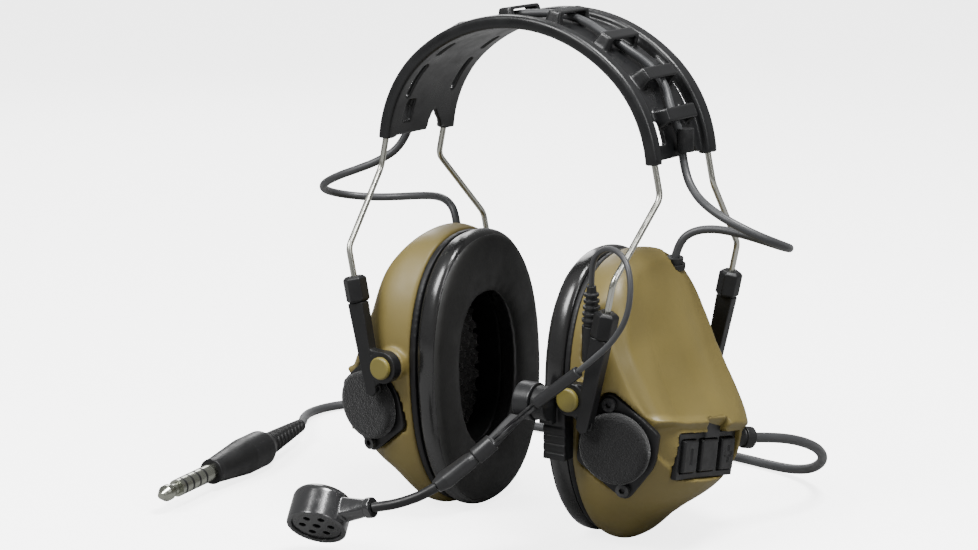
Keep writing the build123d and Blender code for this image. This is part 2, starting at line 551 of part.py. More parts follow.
put("mic_grille", cpl * (Pos(0, 0, 11.6) * grille))

LEAD = [(47.4, -39.3, 105.05), (47.9, -40.3, 111.6), (51.0, -42.0, 117.6), (57.4, -44.6, 121.2), (64.6, -47.6, 120.8), (70.4, -50.8, 116.6), (73.0, -53.2, 108.4), (72.2, -54.8, 98.4), (67.2, -56.0, 89.8), (60.4, -56.8, 83.2), (53.6, -57.6, 77.2)]
lead = cord_tube("mic_lead", LEAD, LEAD_D)
put("mic_lead", lead)
put("lead_sleeve", rod((53.6, -57.6, 77.2), (36.4, -59.2, 63.2), 2.2))

# ---------------- downlead and plug ----------------
GLAND_D = rod(DG_A, DG_B, 3.5)
GLAND_D = GLAND_D + (rod((74.6, 26.9, 36.75), DG_B, 4.3) - outer)
put("downlead_gland", max(GLAND_D.solids(), key=lambda q: q.volume))
COIL_C = (5.0, 85.0)
COIL_R = 22.0
ROUTE_A = [(76.4, 30.5, 36.0), (81.0, 41.2, 34.4), (85.2, 52.8, 31.2), (87.0, 64.8, 26.0), (84.6, 76.0, 19.4), (78.2, 86.6, 12.6), (69.0, 95.4, 6.6), (57.4, 101.6, 3.0), (44.6, 105.0, 2.1), (31.6, 106.4, 2.05), (18.6, 107.2, 2.02), (5.6, 107.0, 2.0)]
put("downlead_exit", cord_tube("downlead_exit", ROUTE_A, DOWN_D))
coil = Pos(COIL_C[0], COIL_C[1], 4.1) * (Cylinder(COIL_R + 4.4, 8.2) - Cylinder(COIL_R - 4.4, 9))
ROUTE_B = [(4.4, 107.0, 2.0), (-22.0, 104.4, 2.02), (-50.0, 101.6, 2.0), (-78.0, 101.0, 2.03), (-106.0, 102.6, 2.0), (-130.0, 103.4, 2.02), (-149.0, 99.2, 2.0), (-162.6, 90.0, 2.05), (-169.8, 77.0, 2.1), (-169.6, 62.6, 2.6), (-163.0, 49.6, 3.8), (-154.4, 38.6, 5.6), (-147.2, 27.6, 7.4)]
tail = cord_tube("downlead_tail", ROUTE_B, DOWN_D)
put("downlead_tail", tail)
cut_a = parts["downlead_exit"]
coil = coil - cut_a - tail
put("downlead_coil", max(coil.solids(), key=lambda q: q.volume))
PB = V(-137.5, -6.9, 7.75)       # back of the plug body
PD = V(0.160, -0.987, 0).normalized()
pr_d = (PB - V(-147.2, 27.6, 7.4))
bp = Plane(origin=PB, z_dir=PD)
body = bp * (Cone(5.6, 7.75, 5.0, align=al_min) + Pos(0, 0, 5.0) * Cylinder(7.75, 14.0, align=al_min) + Pos(0, 0, 19.0) * Cone(7.75, 5.4, 22.0, align=al_min) + Pos(0, 0, 41.0) * Cylinder(5.4, 3.2, align=al_min))
put("plug_body", body)
put("plug_relief", rod((-147.2, 27.6, 7.4), tuple(PB), 2.8, 5.0) - body - tail)
sh = Cylinder(PLUG_D / 2, 26.0, align=al_min)
sh = sh + Pos(0, 0, 26.0) * Cylinder(2.4, 3.4, align=al_min)
sh = sh + Pos(0, 0, 29.4) * Cone(2.4, 3.3, 2.2, align=al_min) + Pos(0, 0, 31.6) * Cylinder(3.3, 2.4, align=al_min) + Pos(0, 0, 34.0) * Cone(3.3, 1.4, 3.6, align=al_min)
rings = []
for z in (7.5, 12.5, 17.5, 22.5):
    cutr = Pos(0, 0, z) * (Cylinder(4.0, 1.3, align=al_min) - Cylinder(2.9, 1.3, align=al_min))
    sh -= cutr
    rings.append(bp * (Pos(0, 0, 44.21) * (Pos(0, 0, z) * (Pos(0, 0, 0.01) * (Cylinder(PLUG_D / 2, 1.28, align=al_min) - Cylinder(2.92, 1.28, align=al_min))))))
put("plug_shank", bp * (Pos(0, 0, 44.21) * sh))
put("plug_insulators", rings)

# ---------------- place the origin and write ----------------
CORDS = ["crossover_cable_band", "crossover_loop_left", "crossover_loop_right", "mic_lead", "lead_sleeve", "downlead_exit", "downlead_coil", "downlead_tail", "plug_relief", "plug_body", "plug_shank", "plug_insulators"]
lo, hi = V(1e9, 1e9, 1e9), V(-1e9, -1e9, -1e9)
for n, s in parts.items():
    if n in CORDS:
        continue
    b = s.bounding_box()
    lo = V(min(lo.X, b.min.X), min(lo.Y, b.min.Y), min(lo.Z, b.min.Z))
    hi = V(max(hi.X, b.max.X), max(hi.Y, b.max.Y), max(hi.Z, b.max.Z))
shift = V(-(lo.X + hi.X) / 2, -(lo.Y + hi.Y) / 2, -lo.Z)
print("box without cords", lo, hi, "shift", shift)
for n, s in parts.items():
    s = Pos(shift.X, shift.Y, shift.Z) * s
    export_step(s, f"parts/{n}.step")
print(len(parts), "nodes")
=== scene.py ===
import bpy, bmesh, math
import numpy as np
from mathutils import Vector, Matrix, noise


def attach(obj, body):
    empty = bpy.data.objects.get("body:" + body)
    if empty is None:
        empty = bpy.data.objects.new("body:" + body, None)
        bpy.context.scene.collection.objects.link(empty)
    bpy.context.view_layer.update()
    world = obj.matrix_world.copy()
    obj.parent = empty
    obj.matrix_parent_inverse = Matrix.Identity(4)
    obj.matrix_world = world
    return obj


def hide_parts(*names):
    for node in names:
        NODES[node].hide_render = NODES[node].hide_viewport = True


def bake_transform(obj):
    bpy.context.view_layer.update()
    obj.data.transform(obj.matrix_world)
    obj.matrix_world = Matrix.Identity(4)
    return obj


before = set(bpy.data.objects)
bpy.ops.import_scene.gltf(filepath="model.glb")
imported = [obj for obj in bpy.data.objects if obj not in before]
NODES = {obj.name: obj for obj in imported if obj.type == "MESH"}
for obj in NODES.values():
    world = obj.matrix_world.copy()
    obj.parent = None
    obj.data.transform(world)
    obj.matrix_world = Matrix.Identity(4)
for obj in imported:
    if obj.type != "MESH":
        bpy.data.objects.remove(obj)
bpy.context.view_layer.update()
scene = bpy.context.scene

SX, SY = -0.230521, 28.0606          # from the design's middle to the row frame, mm


def P(x, y, z):
    return Vector(((x + SX) / 1000.0, (y + SY) / 1000.0, z / 1000.0))


YC, ZC, LEAN = -1.0, 56.0, math.radians(4.0)


def leaned(x, y, z):
    c, s = math.cos(LEAN), math.sin(LEAN)
    return (x, YC + (y - YC) * c - (z - ZC) * s, ZC + (y - YC) * s + (z - ZC) * c)


def unleaned(x, y, z):
    c, s = math.cos(LEAN), -math.sin(LEAN)
    return (x, YC + (y - YC) * c - (z - ZC) * s, ZC + (y - YC) * s + (z - ZC) * c)


# ------------------------------------------------------------------ materials
def material(name, colour, rough=0.55, vary=0.12, vary_scale=60.0, grain=0.0, grain_scale=2500.0,
             bump=0.15, bump_dist=0.0001, wear=0.0, wear_colour=None, metallic=0.0, coat=0.0, coat_rough=0.3,
             sheen=0.0, spec=0.5, rough_vary=0.12, cells=False, cell_scale=1400.0, streak=None, dust=0.0):
    m = bpy.data.materials.new(name)
    m.use_nodes = True
    nt = m.node_tree
    nt.nodes.clear()
    out = nt.nodes.new("ShaderNodeOutputMaterial")
    b = nt.nodes.new("ShaderNodeBsdfPrincipled")
    nt.links.new(b.outputs[0], out.inputs[0])
    b.inputs["Metallic"].default_value = metallic
    b.inputs["Specular IOR Level"].default_value = spec
    b.inputs["Coat Weight"].default_value = coat
    b.inputs["Coat Roughness"].default_value = coat_rough
    b.inputs["Sheen Weight"].default_value = sheen
    b.inputs["Sheen Roughness"].default_value = 0.5
    tc = nt.nodes.new("ShaderNodeTexCoord")
    co = tc.outputs["Object"]
    if streak:
        mp = nt.nodes.new("ShaderNodeMapping")
        mp.inputs["Scale"].default_value = streak
        nt.links.new(co, mp.inputs["Vector"])
        sco = mp.outputs[0]
    else:
        sco = co

    def noise_tex(scale, detail, vec=None, roughness=0.55):
        n = nt.nodes.new("ShaderNodeTexNoise")
        n.inputs["Scale"].default_value = scale
        n.inputs["Detail"].default_value = detail
        n.inputs["Roughness"].default_value = roughness
        nt.links.new(vec or co, n.inputs["Vector"])
        return n.outputs["Fac"]

    def mixc(fac, a, c):
        mx = nt.nodes.new("ShaderNodeMix")
        mx.data_type = "RGBA"
        if hasattr(fac, "is_output"):
            nt.links.new(fac, mx.inputs[0])
        else:
            mx.inputs[0].default_value = fac
        for k, v in ((6, a), (7, c)):
            if hasattr(v, "is_output"):
                nt.links.new(v, mx.inputs[k])
            else:
                mx.inputs[k].default_value = (*v[:3], 1)
        return mx.outputs[2]

    def ramp(src, p0, p1, v0=0.0, v1=1.0):
        r = nt.nodes.new("ShaderNodeMapRange")
        r.inputs["From Min"].default_value = p0
        r.inputs["From Max"].default_value = p1
        r.inputs["To Min"].default_value = v0
        r.inputs["To Max"].default_value = v1
        nt.links.new(src, r.inputs["Value"])
        return r.outputs["Result"]

    dark = tuple(c * (1 - vary) for c in colour)
    light = tuple(min(1.0, c * (1 + vary) + vary * 0.004) for c in colour)
    large = ramp(noise_tex(vary_scale, 4.0, sco), 0.3, 0.7)
    col = mixc(large, dark, light)
    fine = noise_tex(grain_scale, 3.0, sco)
    if grain:
        g = ramp(fine, 0.35, 0.65)
        gdark = mixc(g, tuple(c * (1 - grain) for c in colour), tuple(min(1, c * (1 + grain)) for c in colour))
        col = mixc(0.5, col, gdark)
    if dust:
        d = ramp(noise_tex(24.0, 6.0, None, 0.7), 0.52, 0.75, 0.0, dust)
        col = mixc(d, col, tuple(min(1, c * 1.15 + 0.03) for c in colour))
    if wear:
        ge = nt.nodes.new("ShaderNodeNewGeometry")
        edge = ramp(ge.outputs["Pointiness"], 0.53, 0.60, 0.0, 1.0)
        patch = ramp(noise_tex(130.0, 5.0, None, 0.7), 0.38, 0.62)
        mul = nt.nodes.new("ShaderNodeMath")
        mul.operation = "MULTIPLY"
        nt.links.new(edge, mul.inputs[0])
        nt.links.new(patch, mul.inputs[1])
        mul2 = nt.nodes.new("ShaderNodeMath")
        mul2.operation = "MULTIPLY"
        nt.links.new(mul.outputs[0], mul2.inputs[0])
        mul2.inputs[1].default_value = wear
        col = mixc(mul2.outputs[0], col, wear_colour or tuple(min(1, c * 1.8 + 0.03) for c in colour))
    nt.links.new(col, b.inputs["Base Color"])
    rr = ramp(noise_tex(vary_scale * 2.3, 5.0, sco), 0.25, 0.75, max(0.02, rough - rough_vary), min(1.0, rough + rough_vary))
    nt.links.new(rr, b.inputs["Roughness"])
    height = fine
    if cells:
        v = nt.nodes.new("ShaderNodeTexVoronoi")
        v.inputs["Scale"].default_value = cell_scale
        nt.links.new(co, v.inputs["Vector"])
        ad = nt.nodes.new("ShaderNodeMath")
        ad.operation = "ADD"
        nt.links.new(v.outputs["Distance"], ad.inputs[0])
        mu = nt.nodes.new("ShaderNodeMath")
        mu.operation = "MULTIPLY"
        mu.inputs[1].default_value = 0.5
        nt.links.new(fine, mu.inputs[0])
        nt.links.new(mu.outputs[0], ad.inputs[1])
        height = ad.outputs[0]
    bp = nt.nodes.new("ShaderNodeBump")
    bp.inputs["Strength"].default_value = bump
    bp.inputs["Distance"].default_value = bump_dist
    nt.links.new(height, bp.inputs["Height"])
    nt.links.new(bp.outputs[0], b.inputs["Normal"])
    return m


OLIVE = material("olive_moulding", (0.150, 0.116, 0.033), rough=0.47, vary=0.10, vary_scale=38, grain=0.07, grain_scale=3200, bump=0.24, bump_dist=0.00007, wear=0.35, wear_colour=(0.30, 0.24, 0.11), spec=0.42, dust=0.12)
PIN = material("pin_moulding", (0.150, 0.125, 0.026), rough=0.46, vary=0.08, vary_scale=120, grain=0.05, bump=0.2, bump_dist=0.00006, wear=0.4, wear_colour=(0.36, 0.31, 0.14))
BLACK = material("black_moulding", (0.0065, 0.0066, 0.0070), rough=0.42, vary=0.22, vary_scale=70, grain=0.15, bump=0.25, bump_dist=0.00006, wear=0.35, wear_colour=(0.045, 0.045, 0.046), dust=0.08, spec=0.35)
BAND = material("band_moulding", (0.0085, 0.0087, 0.0092), rough=0.33, vary=0.2, vary_scale=50, grain=0.12, grain_scale=2600, bump=0.28, bump_dist=0.00008, wear=0.45, wear_colour=(0.06, 0.06, 0.061), dust=0.10, spec=0.40)
GREY = material("boom_moulding", (0.012, 0.0122, 0.013), rough=0.38, vary=0.18, vary_scale=90, grain=0.12, bump=0.22, bump_dist=0.00005, wear=0.5, wear_colour=(0.09, 0.09, 0.092), spec=0.45)
DARK = material("inner_moulding", (0.005, 0.005, 0.0055), rough=0.5, vary=0.2, vary_scale=90, grain=0.1, bump=0.2, bump_dist=0.00006, spec=0.35)
STEEL = material("spring_wire", (0.50, 0.50, 0.45), rough=0.27, vary=0.14, vary_scale=160, grain=0.05, bump=0.12, bump_dist=0.00003, metallic=1.0, streak=(1.0, 1.0, 0.18))
MICM = material("mic_moulding", (0.013, 0.0132, 0.014), rough=0.22, vary=0.18, vary_scale=90, grain=0.12, bump=0.2, bump_dist=0.00005, wear=0.5, wear_colour=(0.10, 0.10, 0.102), spec=0.7, coat=0.7, coat_rough=0.16)
SCREW = material("screw_steel", (0.018, 0.018, 0.019), rough=0.34, vary=0.2, vary_scale=300, bump=0.15, bump_dist=0.00003, metallic=0.7, wear=0.5, wear_colour=(0.14, 0.14, 0.14))
NICKEL = material("plug_nickel", (0.36, 0.37, 0.32), rough=0.22, vary=0.10, vary_scale=400, bump=0.1, bump_dist=0.00002, metallic=1.0, grain=0.04)
SKIN = material("cushion_skin", (0.0095, 0.0095, 0.0095), rough=0.24, vary=0.2, vary_scale=45, grain=0.05, grain_scale=1500, bump=0.10, bump_dist=0.00008, coat=0.30, coat_rough=0.14, cells=True, cell_scale=1500, spec=0.5, rough_vary=0.06)
FACE = material("cushion_face", (0.0145, 0.0145, 0.0138), rough=0.55, vary=0.18, vary_scale=45, grain=0.08, grain_scale=1500, bump=0.3, bump_dist=0.00012, cells=True, cell_scale=1700, spec=0.38)
FOAM = material("windscreen_foam", (0.013, 0.0132, 0.0134), rough=0.93, vary=0.25, vary_scale=140, grain=0.35, grain_scale=1900, bump=0.9, bump_dist=0.00035, cells=True, cell_scale=1500, sheen=0.22, spec=0.15)
LINER = material("liner_foam", (0.050, 0.050, 0.047), rough=0.75, vary=0.3, vary_scale=90, grain=0.3, grain_scale=1800, bump=0.8, bump_dist=0.0003, cells=True, cell_scale=1300, spec=0.4, sheen=0.3)
CORD = material("cord_jacket", (0.028, 0.029, 0.031), rough=0.46, vary=0.16, vary_scale=60, grain=0.12, grain_scale=2200, bump=0.25, bump_dist=0.00006, sheen=0.1)
RUBBER = material("relief_rubber", (0.0065, 0.0066, 0.0070), rough=0.52, vary=0.2, vary_scale=80, grain=0.12, bump=0.25, bump_dist=0.00006, wear=0.3, spec=0.4)
KEYR = material("key_rubber", (0.0065, 0.0066, 0.0070), rough=0.46, vary=0.2, vary_scale=120, grain=0.1, bump=0.25, bump_dist=0.00005, wear=0.5, wear_colour=(0.055, 0.055, 0.058), spec=0.4)
BOARD = material("board", (0.01, 0.06, 0.03), rough=0.35, vary=0.2, vary_scale=200, grain=0.2, bump=0.2)
CELL = material("cell_sleeve", (0.06, 0.06, 0.065), rough=0.3, vary=0.1, vary_scale=200, bump=0.1)
DRIVER = material("driver_frame", (0.03, 0.03, 0.03), rough=0.6, vary=0.2, vary_scale=100, grain=0.2, bump=0.3)


def set_mat(o, m):
    o.data.materials.clear()
    o.data.materials.append(m)


def smooth(o, angle=38.0):
    for p in o.data.polygons:
        p.use_smooth = True
    if o.type == "MESH":
        o.data.set_sharp_from_angle(angle=math.radians(angle))


CAD_MATS = {
    "headband_shell": BAND, "headband_wire_front": STEEL, "headband_wire_rear": STEEL, "cable_clips": BLACK,
    "yoke_arms_left": BLACK, "yoke_arms_right": BLACK, "slider_nuts_left": BLACK, "slider_nuts_right": BLACK,
    "pivot_pins_left": PIN, "pivot_pins_right": PIN, "cup_shell_left": OLIVE, "cup_shell_right": OLIVE,
    "baffle_plate_left": DARK, "baffle_plate_right": DARK, "speaker_left": DRIVER, "speaker_right": DRIVER,
    "windscreen_flange_left": BLACK, "windscreen_flange_right": BLACK, "flange_screws_left": SCREW, "flange_screws_right": SCREW,
    "ambient_mic_left": DARK, "ambient_mic_right": DARK, "crossover_gland_left": RUBBER, "crossover_gland_right": RUBBER,
    "key_panel": BLACK, "circuit_board": BOARD, "mic_socket": BLACK, "mic_plug": RUBBER, "boom_bracket": BLACK,
    "lead_sleeve": GREY, "downlead_gland": RUBBER, "plug_relief": RUBBER, "plug_body": BLACK, "plug_shank": NICKEL, "plug_insulators": DARK,
    "key_minus": KEYR, "key_power": KEYR, "key_plus": KEYR, "boom_hub": GREY, "boom_strap": GREY, "boom_rods": SCREW, "boom_grip": GREY,
    "boom_gooseneck": BLACK, "mic_housing": GREY, "mic_grille": GREY, "battery_cells": CELL, "battery_lid": OLIVE,
    "ear_cushion_left": SKIN, "ear_cushion_right": SKIN, "foam_liner_left": LINER, "foam_liner_right": LINER,
    "windscreen_foam_left": FOAM, "windscreen_foam_right": FOAM,
}
for n, o in NODES.items():
    set_mat(o, CAD_MATS.get(n, CORD))
    smooth(o)


# ------------------------------------------------------------------ mesh helpers
def new_object(name, mesh, mat, body=None):
    o = bpy.data.objects.new(name, mesh)
    scene.collection.objects.link(o)
    if mat is not None:
        set_mat(o, mat)
    for p in mesh.polygons:
        p.use_smooth = True
    if body:
        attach(o, body)
    return o


def mesh_of(verts, faces, name="m"):
    me = bpy.data.meshes.new(name)
    me.from_pydata([tuple(v) for v in verts], [], faces)
    me.validate()
    me.update()
    return me


def applied(o):
    """The object's mesh with its modifiers, in place of the old one."""
    dg = bpy.context.evaluated_depsgraph_get()
    me = bpy.data.meshes.new_from_object(o.evaluated_get(dg))
    o.modifiers.clear()
    old = o.data
    o.data = me
    if old.users == 0:
        bpy.data.meshes.remove(old)
    return o


def copy_of(node, name):
    bm = bmesh.new()
    bm.from_mesh(NODES[node].data)
    bmesh.ops.remove_doubles(bm, verts=bm.verts, dist=2e-6)
    me = bpy.data.meshes.new(name)
    bm.to_mesh(me)
    bm.free()
    o = bpy.data.objects.new(name, me)
    scene.collection.objects.link(o)
    return o


def remeshed(o, voxel, iters=4, factor=0.5):
    md = o.modifiers.new("r", "REMESH")
    md.mode = "VOXEL"
    md.voxel_size = voxel
    md.use_smooth_shade = True
    if iters:
        sm = o.modifiers.new("s", "SMOOTH")
        sm.iterations = iters
        sm.factor = factor
    return applied(o)


def relax(o, iters, factor=0.5):
    sm = o.modifiers.new("s", "SMOOTH")
    sm.iterations = iters
    sm.factor = factor
    return applied(o)


def subdivided(o, levels=1):
    md = o.modifiers.new("sub", "SUBSURF")
    md.levels = levels
    md.render_levels = levels
    return applied(o)


def coords(me):
    a = np.zeros(len(me.vertices) * 3)
    me.vertices.foreach_get("co", a)
    return a.reshape(-1, 3)


def normals(me):
    a = np.zeros(len(me.vertices) * 3)
    me.vertices.foreach_get("normal", a)
    return a.reshape(-1, 3)


def put_coords(me, a):
    me.vertices.foreach_set("co", a.ravel())
    me.update()


def finish_piece(o, mat, body, nodes, angle=None):
    set_mat(o, mat)
    for p in o.data.polygons:
        p.use_smooth = True
    if angle:
        o.data.set_sharp_from_angle(angle=math.radians(angle))
    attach(o, body)
    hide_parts(*nodes)
    return o


def softened(node, body, mat, voxel, iters=3, factor=0.5, name=None):
    o = copy_of(node, name or (node + "_skin"))
    remeshed(o, voxel, iters, factor)
    return finish_piece(o, mat, body, [node])


def sstep(x, a, b):
    t = np.clip((x - a) / (b - a), 0, 1)
    return t * t * (3 - 2 * t)


# ------------------------------------------------------------------ cup shells
RID_Y = [-60, -50, -42, -34, -20, -7, 5, 18, 30, 60]
RID_S = [30, 36, 45, 52.5, 57.7, 61.4, 65.6, 69.4, 71.0, 72]
T0 = np.array([53.0, 0.0, 106.5])
B0 = np.array([80.0, 0.0, 45.0])
UPV = (T0 - B0) / np.linalg.norm(T0 - B0)
OUTV = np.array([UPV[2], 0.0, -UPV[0]])


def cup(side):
    s = 1 if side == "left" else -1
    node = "cup_shell_" + side
    o = copy_of(node, "cup_moulding_" + side)
    remeshed(o, 0.0007, 3, 0.5)
    co = coords(o.data)
    nr = normals(o.data)
    mm = co * 1000.0
    x = (mm[:, 0] - SX) * s
    y = mm[:, 1] - SY
    z = mm[:, 2]
    c, sn = math.cos(LEAN), -math.sin(LEAN)
    yu = YC + (y - YC) * c - (z - ZC) * sn
    zu = ZC + (y - YC) * sn + (z - ZC) * c
    q = np.stack([x, np.zeros_like(x), zu], 1) - T0
    sdown = -(q @ UPV)
    height = q @ OUTV
    nx = nr[:, 0] * s
    nz = nr[:, 2]
    facing = nx * OUTV[0] + nz * OUTV[2]
    height = height + np.where(facing < 0, 2.2, 0.0)      # the wall's two faces move together
    facing = np.abs(facing)
    ridge = np.interp(y, RID_Y, RID_S)
    d = sdown - ridge                       # below the ridge is positive
    outer = sstep(facing, 0.15, 0.55) * sstep(height, -9.0, -5.0)
    # a hood whose lower edge stands over a hollow
    lip = 2.3 * np.exp(-np.clip(-d, 0, None) / 9.0) * (1 - sstep(d, -0.6, 0.9))
    hollow = -3.6 * sstep(d, -0.4, 1.6) * (1 - sstep(d, 8, 30)) * (1 - 0.8 * sstep(y, -30, -20))
    side_fade = sstep(y, -43, -36) * (1 - sstep(y, 30, 37))
    move = (lip + hollow) * outer * side_fade
    # a broad shallow dish on the hood
    deep = 1.7 if side == "left" else 0.9
    dish = -deep * np.exp(-(((y + 1) / 19.0) ** 2 + ((sdown - 45) / 14.0) ** 2)) * sstep(facing, 0.6, 0.9) * sstep(height, -3.0, -1.0)
    # across the hood, one broad curve from its back edge to its front
    wide = sstep(-d, -1.0, 4.0) * sstep(y, -41, -34) * (1 - sstep(y, 6, 14)) * sstep(sdown, 4, 26)
    goal = -0.0032 * np.clip(12.0 - y, 0, None) ** 2
    move = move + dish + np.clip(goal - height, -3.0, 7.0) * wide * sstep(facing, 0.10, 0.35) * sstep(height, -17.0, -12.0)
    co2 = co.copy()
    co2[:, 0] += s * OUTV[0] * move / 1000.0
    co2[:, 2] += OUTV[2] * move / 1000.0
    # the hood narrows towards the back, above the corner
    slim = np.interp(zu, [40, 46, 54, 62, 72, 85, 98, 106, 114], [0, 0.8, 2.6, 4.2, 5.2, 4.7, 3.0, 1.6, 0])
    if side == "right":
        slim = slim * 0.12                  # the cells fill that corner of the right cup
    w_ = sstep(yu, 2, 24) * sstep(x, 43, 52)
    co2[:, 0] -= s * 0.6 * slim * w_ / 1000.0
    co2[:, 1] -= 0.8 * slim * w_ / 1000.0
    # and the underside rises straight from the foot to the corner
    co2[:, 2] += 3.2 * sstep(x, 45, 57) * (1 - sstep(zu, 8, 25)) / 1000.0
    put_coords(o.data, co2)
    relax(o, 4, 0.5)
    return finish_piece(o, OLIVE, "cup_" + side, [node])


cup("left")
cup("right")


# ------------------------------------------------------------------ ear cushions
def oval(a, b, n, k, i):
    t = 2 * math.pi * i / k
    c, s = math.cos(t), math.sin(t)
    return (math.copysign(abs(c) ** (2 / n), c) * a, math.copysign(abs(s) ** (2 / n), s) * b)


PROFILE = [  # x, share of the way from the outer outline to the hole
    (34.35, 0.16), (34.3, 0.06), (33.6, 0.010), (32.4, -0.014), (30.8, -0.022), (29.2, -0.020), (27.8, -0.010), (26.9, 0.008),
    (26.3, 0.034), (26.15, 0.060), (25.95, 0.056), (25.4, 0.066), (24.8, 0.10), (24.3, 0.165), (23.98, 0.27), (23.86, 0.42),
    (23.88, 0.62), (24.08, 0.76), (24.5, 0.87), (25.3, 0.955), (26.6, 1.0), (28.6, 1.015), (30.8, 1.01), (32.8, 0.985), (34.2, 0.955), (34.38, 0.86), (34.4, 0.5)]


def cushion(side):
    s = 1 if side == "left" else -1
    K = 144
    verts, faces = [], []
    M = len(PROFILE)
    for i in range(K):
        yo, zo = oval(36.9, 55.6, 2.3, K, i)
        yh, zh = oval(19.5, 31.0, 2.3, K, i)
        for j, (x, f) in enumerate(PROFILE):
            t = 2 * math.pi * i / K
            w = noise.noise(Vector((math.cos(t) * 6.0, math.sin(t) * 6.0, j * 0.35 + s))) * 0.22
            pucker = 0.10 * math.sin(t * 46 + 2.0 * noise.noise(Vector((math.cos(t) * 3, math.sin(t) * 3, 1.0)))) * math.exp(-((f - 0.06) / 0.05) ** 2)
            pucker += 0.16 * math.sin(t * 31) * math.exp(-((f - 0.95) / 0.07) ** 2)
            xx = x - (w * 0.6 + pucker) * (1 if 23.9 < x < 33.5 else 0)
            yy = YC + yo + (yh - yo) * f
            zz = ZC + zo + (zh - zo) * f
            X, Y, Z = leaned(max(23.72, xx), yy, zz)
            verts.append(P(s * X if s > 0 else -X, Y, Z) if s > 0 else P(-X, Y, Z))
    for i in range(K):
        for j in range(M):
            a = i * M + j
            b_ = i * M + (j + 1) % M
            c_ = ((i + 1) % K) * M + (j + 1) % M
            d_ = ((i + 1) % K) * M + j
            faces.append((a, d_, c_, b_) if s > 0 else (a, b_, c_, d_))
    me = mesh_of(verts, faces)
    o = bpy.data.objects.new("ear_cushion_pad_" + side, me)
    scene.collection.objects.link(o)
    subdivided(o, 1)
    bm = bmesh.new()
    bm.from_mesh(o.data)
    bmesh.ops.recalc_face_normals(bm, faces=bm.faces)
    bm.to_mesh(o.data)
    bm.free()
    finish_piece(o, SKIN, "cup_" + side, ["ear_cushion_" + side])
    o.data.materials.append(FACE)
    mid = coords(o.data)
    for p in o.data.polygons:
        c = mid[list(p.vertices)].mean(0) * 1000
        X = abs(c[0] - SX)
        rr = ((c[1] - SY - YC) / 36.9, (c[2] - ZC) / 55.6)
        if X < 26.05:
            p.material_index = 1
    return o


cushion("left")
cushion("right")


# ------------------------------------------------------------------ lattice liner
def liner(side):
    s = 1 if side == "left" else -1
    step = 0.55
    ny, nz = int(21 / step), int(33 / step)
    idx, verts = {}, []
    for i in range(-ny, ny + 1):
        for j in range(-nz, nz + 1):
            y, z = i * step, j * step
            if abs(y / 20.6) ** 2.3 + abs(z / 32.4) ** 2.3 > 1:
                continue
            u, v = (y * 0.80 + z * 0.60) / 4.3, (-y * 0.80 + z * 0.60) / 4.3
            cell = abs(math.sin(math.pi * u)) * abs(math.sin(math.pi * v))
            depth = 2.3 * min(1.0, cell * 2.4) ** 1.5
            X, Y, Z = leaned(44.6 + depth, YC + y, ZC + z)
            idx[(i, j)] = len(verts)
            verts.append(P(s * X, Y, Z))
    faces = []
    for (i, j), a in idx.items():
        q = [(i + 1, j), (i + 1, j + 1), (i, j + 1)]
        if all(k in idx for k in q):
            faces.append((a, idx[q[0]], idx[q[1]], idx[q[2]]))
    me = mesh_of(verts, faces)
    bm = bmesh.new()
    bm.from_mesh(me)
    loose = [v for v in bm.verts if not v.link_faces]
    bmesh.ops.delete(bm, geom=loose, context="VERTS")
    ext = bmesh.ops.extrude_face_region(bm, geom=list(bm.faces))
    back = [g for g in ext["geom"] if isinstance(g, bmesh.types.BMVert)]
    for v in back:
        v.co.x = (s * 47.7 + SX) / 1000
    bmesh.ops.recalc_face_normals(bm, faces=bm.faces)
    bm.to_mesh(me)
    bm.free()
    o = bpy.data.objects.new("liner_lattice_" + side, me)
    scene.collection.objects.link(o)
    finish_piece(o, LINER, "cup_" + side, ["foam_liner_" + side], 60)
    return o


liner("left")
liner("right")

# ------------------------------------------------------------------ windscreens
DISC = Vector((57.8, -41.2, 44.2))
DN = Vector((0.16, -0.98, -0.09)).normalized()


